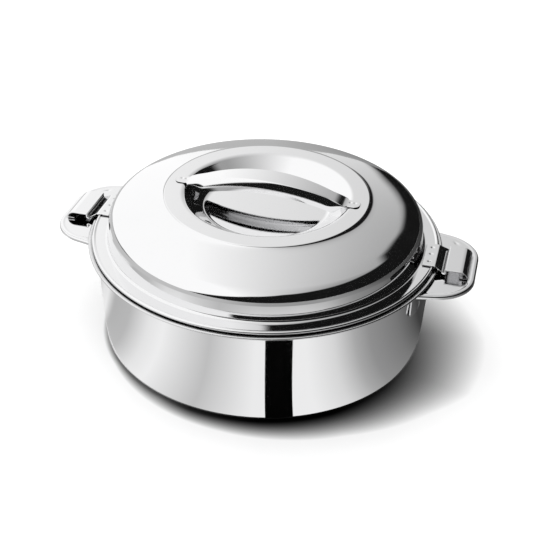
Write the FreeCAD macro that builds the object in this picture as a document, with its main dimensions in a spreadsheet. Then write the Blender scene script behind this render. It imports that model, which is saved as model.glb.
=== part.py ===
import FreeCAD, Part
import math
import os
import Sketcher

# Insulated chapati casserole in polished steel sheet.
# The frame is in millimetres: +Z up, the origin is at the centre of the base,
# and the two body handles lie along the X axis.

document = FreeCAD.newDocument("ChapatiCasserole")
sheet = document.addObject("Spreadsheet::Sheet", "Sizes")

DRIVING_SIZES = {
    # steel sheet and the small gaps between pieces
    "SteelGauge": 0.5,
    "StrapGauge": 0.8,
    "FoamGap": 0.2,
    "SeamGap": 0.05,
    "LidGap": 0.3,
    # outer shell
    "BodyHeight": 69.5,
    "WallTopRadius": 110,
    "WallTaper": 2.6,
    "BaseCornerRadius": 5,
    "BaseRingWidth": 22.4,
    "BasePanelRise": 1,
    "ShellBendRadius": 1.6,
    "PlugRadius": 7,
    "PlugFlange": 3,
    "PlugFlangeGauge": 0.6,
    # inner bowl and its hemmed rim
    "MouthInset": 7.5,
    "BowlTaper": 3,
    "BowlFloorHeight": 8,
    "BowlCornerRadius": 14,
    "BowlLipRadius": 2.5,
    "RimOverhang": 5.1,
    "HemRadius": 0.8,
    "HemLeg": 2.2,
    # lid cover
    "FlangeWidth": 11,
    "FlangeFilletRadius": 1.9,
    "BeadRadius": 1.2,
    "BeadInset": 2.4,
    "BeadRise": 0.5,
    "CurlStartAngle": 55,
    "CurlEndAngle": 45,
    "LidWallFoot": 1.9,
    "FlangeFilletRun": 1.8,
    "LidWallDraft": 0.7,
    "DomeHeight": 9.9,
    "DomeRollRadius": 9.8,
    "DomeRollSlope": 69,
    "CrownRadius": 300,
    "DomeCrownWidth": 35.6,
    "ShoulderFace": 0.5,
    "ShoulderDrop": 2.2,
    "ShoulderEase": 5,
    "ShoulderEaseRadius": 24,
    "PlateauHeight": 28.6,
    "PlateauRound": 0.7,
    "PlateauWidth": 10.2,
    "RecessDepth": 10,
    "RecessFootRun": 4,
    "RecessFootRise": 1.44,
    "RecessFootBend": 5.6,
    "RecessSlopeRun": 10.2,
    "RecessTopRun": 3.6,
    "RecessTopDrop": 1.28,
    "RecessTopBend": 5.4,
    "SlopeGap": 1.15,
    # lid inner cover
    "PlugInset": 3,
    "PlugTaper": 0.7,
    "PlugDepth": 10.7,
    "PlugCornerRadius": 6,
    "PlugBendRadius": 2,
    # lid handle
    "ArchFootInset": 5.2,
    "HandleRise": 11.4,
    "HandleWidth": 19,
    "HandleEndWidth": 12,
    "HandleSkirt": 8.2,
    "SkirtSetback": 7,
    "HandleEndDrop": 1.2,
    "HandleRidgeRadius": 1.8,
    "TabInset": 5.5,
    "TabWidth": 8.5,
    "TabCornerRadius": 3,
    # lid lugs
    "LugRootLength": 6.9,
    "LugCrestReach": 0.8,
    "LugValleyReach": 3.6,
    "LugValleyDrop": 3.4,
    "LugGripTop": 0.8,
    "LugStepRun": 0.8,
    "LugGripFlat": 10.1,
    "LugBendRadius": 4,
    "LugPlateGap": 0.4,
    "LugReturn": 4,
    "LugRootWidth": 26.5,
    "LugGripWidth": 30,
    # body handle plates
    "PlateLength": 28,
    "PlateHalfWidth": 40.9,
    "PlateShoulderReach": 7,
    "PlateShoulderInset": 3.2,
    "PlateEndInset": 28.4,
    "PlateCornerRadius": 26.3,
    "PlateThickness": 1,
    "PlateEdge": 2.4,
    "PlateEdgeRound": 0.8,
    "PlateDrop": 1.9,
    "WeldFlangeDepth": 14,
    "WeldFlangeCorner": 2,
}

for row, (alias, value) in enumerate(DRIVING_SIZES.items(), start=1):
    sheet.set(f"A{row}", alias)
    sheet.set(f"B{row}", str(value))
    sheet.setAlias(f"B{row}", alias)
document.recompute()


class Size:
    """A length: its value now, and the formula that gives it from the sheet."""

    def __init__(self, value, formula):
        self.value = float(value)
        self.formula = formula

    def __add__(self, other):
        other = as_size(other)
        return Size(self.value + other.value, f"({self.formula} + {other.formula})")

    def __sub__(self, other):
        other = as_size(other)
        return Size(self.value - other.value, f"({self.formula} - {other.formula})")

    def __mul__(self, factor):
        factor = as_size(factor)
        return Size(self.value * factor.value, f"({self.formula} * {factor.formula})")

    def __neg__(self):
        return Size(-self.value, f"(-{self.formula})")

    def root(self):
        return Size(math.sqrt(self.value), f"sqrt({self.formula})")

    def cosine(self):
        return Size(math.cos(math.radians(self.value)), f"cos({self.formula})")

    def sine(self):
        return Size(math.sin(math.radians(self.value)), f"sin({self.formula})")


def as_size(number):
    return number if isinstance(number, Size) else Size(number, repr(float(number)))


def size(alias):
    return Size(sheet.get(alias), f"{sheet.Name}.{alias}")


def on_circle(radius, offset):
    """Distance from the axis, along X, of a circle's point that lies offset from X."""
    return (radius * radius - offset * offset).root()


class Outline:
    """Lines and arcs in a sketch, each corner placed by formulas on the sheet."""

    def __init__(self, sketch, x, y):
        self.sketch = sketch
        self.first = None
        self.last = None
        self.start = self.here = (as_size(x), as_size(y))

    def corner(self):
        return FreeCAD.Vector(self.here[0].value, self.here[1].value, 0)

    def bind(self, kind, items, length):
        index = self.sketch.addConstraint(Sketcher.Constraint(kind, *items, length.value))
        self.sketch.setExpression(f"Constraints[{index}]", length.formula)

    def place(self, geometry, point, corner):
        self.bind("DistanceX", (geometry, point), corner[0])
        self.bind("DistanceY", (geometry, point), corner[1])

    def join(self, geometry, start_point, end_point):
        if self.last is None:
            self.place(geometry, start_point, self.start)
            self.first = (geometry, start_point)
        else:
            self.sketch.addConstraint(
                Sketcher.Constraint("Coincident", *self.last, geometry, start_point))
        self.last = (geometry, end_point)

    def line(self, x, y):
        begin = self.corner()
        self.here = (as_size(x), as_size(y))
        geometry = self.sketch.addGeometry(Part.LineSegment(begin, self.corner()))
        self.join(geometry, 1, 2)
        self.place(geometry, 2, self.here)
        return self

    def arc(self, x, y, radius, left):
        """An arc to x, y whose centre lies to the left or right of the way there."""
        radius = as_size(radius)
        begin = self.corner()
        self.here = (as_size(x), as_size(y))
        end = self.corner()
        chord = end - begin
        height = math.sqrt(max(radius.value ** 2 - (chord.Length / 2) ** 2, 0))
        normal = FreeCAD.Vector(-chord.y, chord.x, 0).normalize()
        centre = (begin + end) * 0.5 + normal * (height if left else -height)
        angles = [math.atan2(p.y - centre.y, p.x - centre.x) for p in (begin, end)]
        if not left:
            angles.reverse()
        circle = Part.Circle(centre, FreeCAD.Vector(0, 0, 1), radius.value)
        geometry = self.sketch.addGeometry(Part.ArcOfCircle(circle, *angles))
        start_point, end_point = (1, 2) if left else (2, 1)
        self.join(geometry, start_point, end_point)
        self.place(geometry, end_point, self.here)
        self.bind("Radius", (geometry,), radius)
        return self

    def close(self):
        begin = self.corner()
        self.here = self.start
        geometry = self.sketch.addGeometry(Part.LineSegment(begin, self.corner()))
        self.sketch.addConstraint(Sketcher.Constraint("Coincident", *self.last, geometry, 1))
        self.sketch.addConstraint(Sketcher.Constraint("Coincident", geometry, 2, *self.first))
        return self


# How far a cutting block runs past what it cuts, in sheet thicknesses
CUT_MARGIN = 3
# Two places nearer than this are the same
CLOSE = 0.01

UPRIGHT = FreeCAD.Rotation(FreeCAD.Vector(1, 0, 0), 90)
HALF_TURN = FreeCAD.Rotation(FreeCAD.Vector(0, 0, 1), 180)


def upright_sketch(name):
    """A sketch in the XZ plane: its X is the distance from the axis, its Y the height."""
    sketch = document.addObject("Sketcher::SketchObject", name)
    sketch.Placement = FreeCAD.Placement(FreeCAD.Vector(), UPRIGHT)
    return sketch


def body_sketch(body, role, name):
    sketch = body.newObject("Sketcher::SketchObject", name)
    plane = next(item for item in body.Origin.OriginFeatures if item.Role == role)
    sketch.AttachmentSupport = [(plane, "")]
    sketch.MapMode = "FlatFace"
    return sketch


def sheet_section(sketch, gauge):
    """The section of a steel sheet that has the sketch's open line as one face."""
    section = document.addObject("Part::Offset2D", f"{sketch.Name}Section")
    section.Source = sketch
    section.Mode = "Skin"
    section.Join = "Arc"
    section.Fill = True
    section.setExpression("Value", gauge.formula)
    section.Value = gauge.value
    return section


def spun(section, label):
    piece = document.addObject("Part::Revolution", f"{section.Name}Spun")
    piece.Source = section
    piece.Axis = FreeCAD.Vector(0, 0, 1)
    piece.Base = FreeCAD.Vector(0, 0, 0)
    piece.Angle = 360
    piece.Solid = True
    piece.Label = label
    return piece


def pressed_along(section, width, name):
    """The section drawn out along Y, half the width to each side."""
    piece = document.addObject("Part::Extrusion", name)
    piece.Base = section
    piece.DirMode = "Custom"
    piece.Dir = FreeCAD.Vector(0, 1, 0)
    piece.Symmetric = True
    piece.Solid = True
    piece.setExpression("LengthFwd", width.formula)
    return piece


def raised(plan, name):
    """A prism over an outline from above, from the floor to well over the whole piece."""
    prism = document.addObject("Part::Extrusion", f"{name}Prism")
    prism.Base = plan
    prism.DirMode = "Custom"
    prism.Dir = FreeCAD.Vector(0, 0, 1)
    prism.Solid = True
    prism.setExpression("LengthFwd", (plateau * 2).formula)
    return prism


def boolean(kind, base, tool, name):
    result = document.addObject(kind, name)
    result.Base = base
    result.Tool = tool
    return result


gauge = size("SteelGauge")
strap_gauge = size("StrapGauge")
axis = as_size(0)

# Radii that several pieces share, each measured from the wall outwards or inwards
wall_top = size("WallTopRadius")
wall_base = wall_top - size("WallTaper")
base_panel = wall_base - size("BaseRingWidth")
bowl_mouth = wall_top - size("MouthInset")
bowl_floor_radius = bowl_mouth - size("BowlTaper")
rim_reach = wall_top + size("RimOverhang")
bead_centre_radius = rim_reach - size("BeadInset") - size("BeadRadius")
flange_radius = rim_reach - size("FlangeWidth")
lid_wall_radius = flange_radius - size("FlangeFilletRun")
dome_radius = lid_wall_radius - size("LidWallDraft")
shoulder_radius = dome_radius - size("DomeCrownWidth")
plateau_inner = shoulder_radius - size("PlateauWidth")
recess_top = plateau_inner - size("RecessTopRun")
recess_foot = recess_top - size("RecessSlopeRun")
recess_floor_radius = recess_foot - size("RecessFootRun")
arch_half_span = recess_top - size("ArchFootInset")
lug_root = bead_centre_radius - size("LugRootLength")
lug_valley = rim_reach + size("LugValleyReach")
plate_shoulder = wall_top + size("PlateShoulderReach")

# Heights that several pieces share
body_height = size("BodyHeight")
hem_thickness = size("HemRadius") * 2
rim_under = body_height - hem_thickness
bead_centre_height = body_height + size("LidGap") + size("BeadRadius")
bead_top = bead_centre_height + size("BeadRadius")
flange_top = bead_top - size("BeadRise")
plateau = flange_top + size("PlateauHeight")
recess_floor = plateau - size("RecessDepth")
plate_top = rim_under - size("PlateDrop") + size("PlateThickness")


def make_outer_shell():
    sketch = upright_sketch("OuterShellLine")
    corner = size("BaseCornerRadius")
    bend = size("ShellBendRadius")
    flange = rim_under + gauge + size("SeamGap")
    panel_edge = base_panel + size("BasePanelRise")
    outline = Outline(sketch, size("PlugRadius"), size("BasePanelRise"))
    outline.line(base_panel, size("BasePanelRise"))
    outline.line(panel_edge + size("BasePanelRise"), axis)
    outline.line(wall_base - corner, axis)
    outline.arc(wall_base, corner, corner, left=True)
    outline.line(wall_top, flange - bend)
    outline.arc(wall_top + bend, flange, bend, left=False)
    outline.line(rim_reach - size("HemRadius") - size("SeamGap"), flange)
    return spun(sheet_section(sketch, gauge), "outer_shell")


def make_inner_bowl():
    sketch = upright_sketch("InnerBowlLine")
    corner = size("BowlCornerRadius")
    floor = size("BowlFloorHeight")
    lip = size("BowlLipRadius")
    hem_start = rim_reach - size("HemRadius")
    outline = Outline(sketch, axis, floor)
    outline.line(bowl_floor_radius - corner, floor)
    outline.arc(bowl_floor_radius, floor + corner, corner, left=True)
    outline.line(bowl_mouth, body_height - lip)
    outline.arc(bowl_mouth + lip, body_height, lip, left=False)
    outline.line(hem_start, body_height)
    outline.arc(hem_start + size("HemRadius"), body_height - size("HemRadius"), size("HemRadius"), left=False)
    outline.arc(hem_start, rim_under, size("HemRadius"), left=False)
    outline.line(hem_start - size("HemLeg"), rim_under)
    return spun(sheet_section(sketch, -gauge), "inner_bowl")


def make_body_insulation():
    sketch = upright_sketch("BodyFoamOutline")
    skin = gauge + size("FoamGap")
    bowl_corner = size("BowlCornerRadius") + skin
    base_corner = size("BaseCornerRadius")
    bowl_floor = size("BowlFloorHeight") - skin
    foam_floor = size("BasePanelRise") + skin
    foam_top = rim_under - size("ShellBendRadius") - gauge
    outline = Outline(sketch, axis, foam_floor)
    outline.line(wall_base - base_corner, foam_floor)
    outline.arc(wall_base - skin, foam_floor + base_corner - skin, base_corner - skin, left=True)
    outline.line(wall_top - skin, foam_top)
    outline.line(bowl_mouth + skin, foam_top)
    outline.line(bowl_floor_radius + skin, size("BowlFloorHeight") + size("BowlCornerRadius"))
    outline.arc(bowl_floor_radius - size("BowlCornerRadius"), bowl_floor, bowl_corner, left=False)
    outline.line(axis, bowl_floor)
    outline.close()
    return spun(sketch, "body_insulation")


def make_base_foam_plug():
    sketch = upright_sketch("FoamPlugOutline")
    stem = size("PlugRadius") - size("SeamGap")
    skin_top = size("BasePanelRise") + gauge
    rim = size("PlugRadius") + size("PlugFlange")
    flange_under = size("BasePanelRise") - size("PlugFlangeGauge")
    outline = Outline(sketch, axis, flange_under)
    outline.line(rim, flange_under)
    outline.line(rim, size("BasePanelRise"))
    outline.line(stem, size("BasePanelRise"))
    outline.line(stem, skin_top)
    outline.line(axis, skin_top)
    outline.close()
    return spun(sketch, "base_foam_plug")


def make_lid_outer_cover():
    sketch = upright_sketch("LidCoverLine")
    dome_height = flange_top + size("DomeHeight")
    roll = size("DomeRollRadius")
    roll_centre = dome_radius - roll
    slope = size("DomeRollSlope")
    bead = size("BeadRadius")
    curl_start = size("CurlStartAngle")
    curl_end = size("CurlEndAngle")
    outline = Outline(sketch, axis, recess_floor)
    outline.line(recess_floor_radius, recess_floor)
    outline.arc(recess_foot, recess_floor + size("RecessFootRise"),
                size("RecessFootBend"), left=True)
    outline.line(recess_top, plateau - size("RecessTopDrop"))
    outline.arc(plateau_inner, plateau, size("RecessTopBend"), left=False)
    outline.line(shoulder_radius - size("PlateauRound"), plateau)
    outline.arc(shoulder_radius, plateau - size("ShoulderFace"), size("PlateauRound"), left=False)
    outline.arc(shoulder_radius + size("ShoulderEase"), plateau - size("ShoulderDrop"),
                size("ShoulderEaseRadius"), left=True)
    outline.arc(roll_centre + roll * slope.cosine(), dome_height + roll * slope.sine(),
                size("CrownRadius"), left=False)
    outline.arc(dome_radius, dome_height, roll, left=False)
    outline.line(lid_wall_radius, flange_top + size("LidWallFoot"))
    outline.arc(flange_radius, flange_top, size("FlangeFilletRadius"), left=True)
    outline.line(bead_centre_radius - bead, flange_top)
    outline.line(bead_centre_radius - bead * curl_start.cosine(),
                 bead_centre_height + bead * curl_start.sine())
    outline.arc(bead_centre_radius + bead, bead_centre_height, bead, left=False)
    outline.arc(bead_centre_radius, bead_centre_height - bead, bead, left=False)
    outline.arc(bead_centre_radius - bead * curl_end.cosine(),
                bead_centre_height - bead * curl_end.sine(), bead, left=False)
    return spun(sheet_section(sketch, -gauge), "lid_outer_cover")


def inner_flange_under():
    return flange_top - gauge * 2


def make_lid_inner_cover():
    sketch = upright_sketch("LidInnerLine")
    under = inner_flange_under()
    bend = size("PlugBendRadius")
    corner = size("PlugCornerRadius")
    plug_top = bowl_mouth - size("PlugInset")
    plug_foot = plug_top - size("PlugTaper")
    floor = under - size("PlugDepth")
    outline = Outline(sketch, axis, floor)
    outline.line(plug_foot - corner, floor)
    outline.arc(plug_foot, floor + corner, corner, left=True)
    outline.line(plug_top, under - bend)
    outline.arc(plug_top + bend, under, bend, left=False)
    outline.line(bead_centre_radius - size("FoamGap"), under)
    return spun(sheet_section(sketch, gauge), "lid_inner_cover")


def make_lid_insulation():
    sketch = upright_sketch("LidFoamOutline")
    skin = gauge + size("FoamGap")
    slope_skin = size("SlopeGap")
    corner = size("PlugCornerRadius")
    plug_top = bowl_mouth - size("PlugInset") - skin
    plug_foot = plug_top - size("PlugTaper")
    floor = inner_flange_under() - size("PlugDepth") + skin
    roll = size("DomeRollRadius")
    inner_roll = roll - skin
    roll_centre = dome_radius - roll
    dome_height = flange_top + size("DomeHeight")
    slope = size("DomeRollSlope")
    neck = lid_wall_radius - skin
    crown_foot = plateau - size("ShoulderDrop") - slope_skin
    outline = Outline(sketch, axis, floor)
    outline.line(plug_foot - corner, floor)
    outline.arc(plug_foot, floor + corner, corner, left=True)
    outline.line(plug_top, inner_flange_under() + gauge + skin)
    outline.line(neck, inner_flange_under() + gauge + skin)
    outline.line(neck, flange_top + size("LidWallFoot"))
    outline.line(dome_radius - skin, dome_height)
    outline.arc(roll_centre + inner_roll * slope.cosine(), dome_height + inner_roll * slope.sine(),
                inner_roll, left=True)
    outline.line(shoulder_radius + size("ShoulderEase"), crown_foot)
    outline.line(shoulder_radius - size("PlateauRound"), crown_foot)
    outline.line(plateau_inner, plateau - slope_skin)
    outline.line(recess_top, plateau - size("RecessTopDrop") - slope_skin)
    outline.line(recess_foot, recess_floor + size("RecessFootRise") - slope_skin)
    outline.line(recess_floor_radius, recess_floor - slope_skin)
    outline.line(axis, recess_floor - slope_skin)
    outline.close()
    return spun(sketch, "lid_insulation")


def inverse(length):
    return Size(1 / length.value, f"(1 / {length.formula})")


def arch_side(name, drop, skirt_drop, end_drop):
    """Side view of the arched strap: the top arc, and the lower edge of its skirts."""
    sketch = upright_sketch(name)
    rise = size("HandleRise")
    foot = plateau + strap_gauge - drop
    top = foot + rise
    radius = (arch_half_span * arch_half_span + rise * rise) * inverse(rise * 2)
    skirt_half = arch_half_span - size("SkirtSetback")
    sag = radius - on_circle(radius, skirt_half)
    skirt_foot = top - sag - size("HandleSkirt") - skirt_drop + drop
    outline = Outline(sketch, -arch_half_span, foot)
    outline.arc(axis, top, radius, left=False)
    outline.arc(arch_half_span, foot, radius, left=False)
    outline.line(arch_half_span, foot - end_drop)
    outline.line(skirt_half, skirt_foot)
    outline.arc(-skirt_half, skirt_foot, radius, left=True)
    outline.line(-arch_half_span, foot - end_drop)
    outline.close()
    return sketch


def rounded(piece, name, radius, chosen):
    """The piece with the edges that the test chooses rounded."""
    result = document.addObject("Part::Fillet", name)
    result.Base = piece
    document.recompute()
    picked = [index for index, edge in enumerate(piece.Shape.Edges, start=1) if chosen(edge)]
    result.Edges = [(index, radius.value, radius.value) for index in picked]
    return result


def narrowed(side, inset, name):
    """The side view drawn out along Y and cut to the strap's outline from above, widest at its middle."""
    width = size("HandleWidth")
    end_half = size("HandleEndWidth") * 0.5 - inset
    swell = (width - size("HandleEndWidth")) * 0.5
    bend = (arch_half_span * arch_half_span + swell * swell) * inverse(swell * 2)
    plan = document.addObject("Sketcher::SketchObject", f"{name}Plan")
    outline = Outline(plan, -arch_half_span, -end_half)
    outline.arc(arch_half_span, -end_half, bend, left=True)
    outline.line(arch_half_span, end_half)
    outline.arc(-arch_half_span, end_half, bend, left=True)
    outline.close()
    return boolean("Part::Common", pressed_along(side, width, f"{name}Strip"), raised(plan, name), name)


def make_lid_handle():
    side = arch_side("HandleOuterSide", as_size(0), as_size(0), size("HandleEndDrop"))
    block = narrowed(side, as_size(0), "HandleBlock")

    def is_ridge(edge):
        middle = edge.CenterOfMass
        beside = abs(middle.y) > size("HandleEndWidth").value / 4
        return beside and middle.z > plateau.value + size("HandleRise").value / 2

    outer = rounded(block, "HandleOuter", size("HandleRidgeRadius"), is_ridge)
    past = strap_gauge * CUT_MARGIN
    hollow_side = arch_side("HandleHollowSide", strap_gauge, past, size("HandleEndDrop") * 2)
    hollow = narrowed(hollow_side, strap_gauge, "HandleHollow")
    arch = boolean("Part::Cut", outer, hollow, "HandleArch")
    tabs = document.addObject("Part::Box", "HandleTabs")
    tab_end = shoulder_radius - size("TabInset")
    tabs.setExpression("Length", (tab_end * 2).formula)
    tabs.setExpression("Width", size("TabWidth").formula)
    tabs.setExpression("Height", strap_gauge.formula)
    tabs.setExpression("Placement.Base.x", (-tab_end).formula)
    tabs.setExpression("Placement.Base.y", (-size("TabWidth") * 0.5).formula)
    tabs.setExpression("Placement.Base.z", plateau.formula)
    middle = document.addObject("Part::Box", "HandleFingerSpace")
    inner_half = arch_half_span - strap_gauge
    middle.setExpression("Length", (inner_half * 2).formula)
    middle.setExpression("Width", (size("HandleWidth") * 2).formula)
    middle.setExpression("Height", past.formula)
    middle.setExpression("Placement.Base.x", (-inner_half).formula)
    middle.setExpression("Placement.Base.y", (-size("HandleWidth")).formula)
    middle.setExpression("Placement.Base.z", (plateau - strap_gauge).formula)
    tab_middle = plateau.value + strap_gauge.value / 2

    def is_upright(edge):
        return abs(edge.CenterOfMass.z - tab_middle) < CLOSE

    round_tabs = rounded(tabs, "HandleRoundTabs", size("TabCornerRadius"), is_upright)
    ends = boolean("Part::Cut", round_tabs, middle, "HandleEnds")
    piece = boolean("Part::Fuse", arch, ends, "HandleStrap")
    piece.Label = "lid_handle"
    return piece


def make_lid_lug(label, rotation):
    name = label.title().replace("_", "")
    sketch = upright_sketch(f"{name}Line")
    under = bead_top + size("SeamGap")
    crest = bead_centre_radius + size("LugCrestReach")
    valley = under - size("LugValleyDrop")
    grip_top = flange_top + size("LugGripTop")
    grip_under = grip_top - strap_gauge
    grip_start = lug_valley + size("LugStepRun")
    grip_end = grip_start + size("LugGripFlat")
    bend = size("LugBendRadius") - strap_gauge
    leg_top = plate_top + size("LugPlateGap") + strap_gauge
    low_bend = grip_under - bend - leg_top
    outline = Outline(sketch, lug_root, under)
    outline.line(crest, under)
    outline.line(lug_valley, valley)
    outline.line(grip_start, grip_under)
    outline.line(grip_end, grip_under)
    outline.arc(grip_end + bend, grip_under - bend, bend, left=False)
    outline.arc(grip_end + bend - low_bend, leg_top, low_bend, left=False)
    outline.line(grip_end + bend - low_bend - size("LugReturn"), leg_top)
    strip = pressed_along(sheet_section(sketch, strap_gauge), size("LugGripWidth"), f"{name}Strip")
    plan = document.addObject("Sketcher::SketchObject", f"{name}Plan")
    root_half = size("LugRootWidth") * 0.5
    grip_half = size("LugGripWidth") * 0.5
    far = grip_end + size("LugBendRadius") * 2
    shape = Outline(plan, lug_root, -root_half)
    shape.line(crest, -root_half)
    shape.line(lug_valley, -grip_half)
    shape.line(far, -grip_half)
    shape.line(far, grip_half)
    shape.line(lug_valley, grip_half)
    shape.line(crest, root_half)
    shape.line(lug_root, root_half)
    shape.close()
    piece = boolean("Part::Common", strip, raised(plan, name), f"{name}Strap")
    piece.Placement = FreeCAD.Placement(FreeCAD.Vector(), rotation)
    piece.Label = label
    return piece


def plate_outline(sketch, inset):
    """The D of a handle plate, its inner side following the shell's wall."""
    wall = wall_top + size("SeamGap") + inset
    half = size("PlateHalfWidth") - inset
    end = wall_top + size("PlateLength") - inset
    shoulder_half = half - size("PlateShoulderInset")
    end_half = size("PlateHalfWidth") - size("PlateEndInset")
    corner = size("PlateCornerRadius") - inset
    near = on_circle(wall, half)
    outline = Outline(sketch, near, half)
    outline.arc(near, -half, wall, left=False)
    outline.line(plate_shoulder, -shoulder_half)
    outline.arc(end, -end_half, corner, left=True)
    outline.line(end, end_half)
    outline.arc(plate_shoulder, shoulder_half, corner, left=True)
    outline.close()


def make_body_handle(label, rotation):
    body = document.addObject("PartDesign::Body", label.title().replace("_", ""))
    body.Label = label
    top = plate_top
    plan = body_sketch(body, "XY_Plane", f"{label}_plan")
    plan.setExpression("AttachmentOffset.Base.z", (top - size("PlateEdge")).formula)
    plate_outline(plan, as_size(0))
    plate = body.newObject("PartDesign::Pad", f"{label}_plate")
    plate.Profile = plan
    plate.setExpression("Length", size("PlateEdge").formula)
    document.recompute()
    outside = plate_shoulder.value - size("PlateThickness").value
    top_edges = []
    for index, edge in enumerate(plate.Shape.Edges, start=1):
        is_outer = all(math.hypot(vertex.X, vertex.Y) > outside for vertex in edge.Vertexes)
        if is_outer and min(vertex.Z for vertex in edge.Vertexes) > top.value - CLOSE:
            top_edges.append(f"Edge{index}")
    rounding = body.newObject("PartDesign::Fillet", f"{label}_round")
    rounding.Base = (plate, top_edges)
    rounding.setExpression("Radius", size("PlateEdgeRound").formula)
    hollow_plan = body_sketch(body, "XY_Plane", f"{label}_hollow_plan")
    hollow_plan.setExpression("AttachmentOffset.Base.z", (top - size("PlateEdge")).formula)
    plate_outline(hollow_plan, size("PlateThickness"))
    hollow = body.newObject("PartDesign::Pocket", f"{label}_hollow")
    hollow.Profile = hollow_plan
    hollow.Reversed = True
    hollow.setExpression("Length", (size("PlateEdge") - size("PlateThickness")).formula)
    flange_plan = body_sketch(body, "XY_Plane", f"{label}_flange_plan")
    flange_top_height = top - size("PlateEdge")
    flange_foot = flange_top_height - size("WeldFlangeDepth")
    flange_plan.setExpression("AttachmentOffset.Base.z", flange_foot.formula)
    inner = wall_top + size("SeamGap")
    outer = inner + size("PlateThickness")
    half = size("PlateHalfWidth")
    flange = Outline(flange_plan, on_circle(inner, half), half)
    flange.arc(on_circle(inner, half), -half, inner, left=False)
    flange.line(on_circle(outer, half), -half)
    flange.arc(on_circle(outer, half), half, outer, left=True)
    flange.close()
    weld_flange = body.newObject("PartDesign::Pad", f"{label}_weld_flange")
    weld_flange.Profile = flange_plan
    weld_overlap = size("PlateEdge") * 0.5
    weld_flange.setExpression("Length", (size("WeldFlangeDepth") + weld_overlap).formula)
    document.recompute()
    corner_edges = []
    for index, edge in enumerate(weld_flange.Shape.Edges, start=1):
        at_foot = all(abs(vertex.Z - flange_foot.value) < CLOSE for vertex in edge.Vertexes)
        across_sheet = edge.Length < size("PlateThickness").value + size("PlateEdgeRound").value
        if at_foot and across_sheet:
            corner_edges.append(f"Edge{index}")
    corners = body.newObject("PartDesign::Fillet", f"{label}_flange_corners")
    corners.Base = (weld_flange, corner_edges)
    corners.setExpression("Radius", size("WeldFlangeCorner").formula)
    body.Tip = corners
    body.Placement = FreeCAD.Placement(FreeCAD.Vector(), rotation)
    return body


pieces = [
    make_outer_shell(),
    make_inner_bowl(),
    make_body_insulation(),
    make_base_foam_plug(),
    make_lid_outer_cover(),
    make_lid_inner_cover(),
    make_lid_insulation(),
    make_lid_handle(),
    make_lid_lug("lid_lug_right", FreeCAD.Rotation()),
    make_lid_lug("lid_lug_left", HALF_TURN),
    make_body_handle("body_handle_right", FreeCAD.Rotation()),
    make_body_handle("body_handle_left", HALF_TURN),
]
document.recompute()

for item in document.Objects:
    if "Invalid" in item.State or "Error" in item.State:
        raise RuntimeError(f"{item.Name} failed: {item.State}")
for piece in pieces:
    if piece.Shape.isNull() or not piece.Shape.isValid() or len(piece.Shape.Solids) != 1:
        raise RuntimeError(f"{piece.Label} is not one valid solid")

os.makedirs("parts", exist_ok=True)
for piece in pieces:
    piece.Shape.exportStep(f"parts/{piece.Label}.step")
    box = piece.Shape.optimalBoundingBox(False)
    print(f"{piece.Label}: {piece.Shape.Volume:.0f} mm3,"
          f" x {box.XMin:.1f} to {box.XMax:.1f}, z {box.ZMin:.2f} to {box.ZMax:.2f}")
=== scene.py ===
import bmesh
import bpy
import math
from mathutils import Matrix, Vector


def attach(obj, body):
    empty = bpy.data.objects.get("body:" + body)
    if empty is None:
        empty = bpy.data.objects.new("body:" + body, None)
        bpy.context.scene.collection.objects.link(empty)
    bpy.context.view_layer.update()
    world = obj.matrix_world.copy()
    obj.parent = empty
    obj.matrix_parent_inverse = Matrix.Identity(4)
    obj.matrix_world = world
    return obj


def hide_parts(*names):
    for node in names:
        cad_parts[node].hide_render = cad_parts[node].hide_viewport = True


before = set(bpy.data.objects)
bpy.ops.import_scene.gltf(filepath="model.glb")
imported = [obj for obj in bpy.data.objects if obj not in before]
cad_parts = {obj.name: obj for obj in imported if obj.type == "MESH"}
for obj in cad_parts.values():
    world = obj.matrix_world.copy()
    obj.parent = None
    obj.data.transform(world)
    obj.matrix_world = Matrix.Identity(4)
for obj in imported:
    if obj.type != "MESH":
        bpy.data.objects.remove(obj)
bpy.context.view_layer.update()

MM = 0.001
SEGMENTS = 384
ARC_STEP = math.radians(5)
SUPPORT = 0.25


# The camera, as fitted to the photo; lengths in millimetres, focal length and side in pixels

VIEW_TURN = math.radians(13.5)
CAMERA_DISTANCE = 700
CAMERA_ELEVATION = math.radians(33.43)
CAMERA_ROLL = math.radians(1.68)
CAMERA_SHIFT_X = -4.3
CAMERA_SHIFT_Y = 27.8
CAMERA_FOCAL = 1069
IMAGE_SIDE = 545
SENSOR = 36
AIM_HEIGHT = 72


def add_camera():
    """The fit has the camera straight ahead of the pot; here it is turned into the part's frame."""
    back = Vector((0, -math.cos(CAMERA_ELEVATION), math.sin(CAMERA_ELEVATION)))
    across = Vector((1, 0, 0))
    above = Vector((0, math.sin(CAMERA_ELEVATION), math.cos(CAMERA_ELEVATION)))
    right = across * math.cos(CAMERA_ROLL) + above * math.sin(CAMERA_ROLL)
    up = above * math.cos(CAMERA_ROLL) - across * math.sin(CAMERA_ROLL)
    place = back * CAMERA_DISTANCE - right * CAMERA_SHIFT_X - up * CAMERA_SHIFT_Y
    matrix = Matrix((right, up, back)).transposed().to_4x4()
    matrix.translation = place * MM
    data = bpy.data.cameras.new("photo_camera")
    data.sensor_width = SENSOR
    data.lens = CAMERA_FOCAL / IMAGE_SIDE * SENSOR
    camera = bpy.data.objects.new("photo_camera", data)
    turn = Matrix.Rotation(VIEW_TURN, 4, "Z")
    lift = Matrix.Translation((0, 0, AIM_HEIGHT * MM))
    camera.matrix_world = lift @ turn @ matrix
    bpy.context.scene.collection.objects.link(camera)
    bpy.context.scene.camera = camera


# Sizes in millimetres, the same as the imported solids

STEEL = 0.5
STRAP = 0.8
SEAM = 0.05

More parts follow.
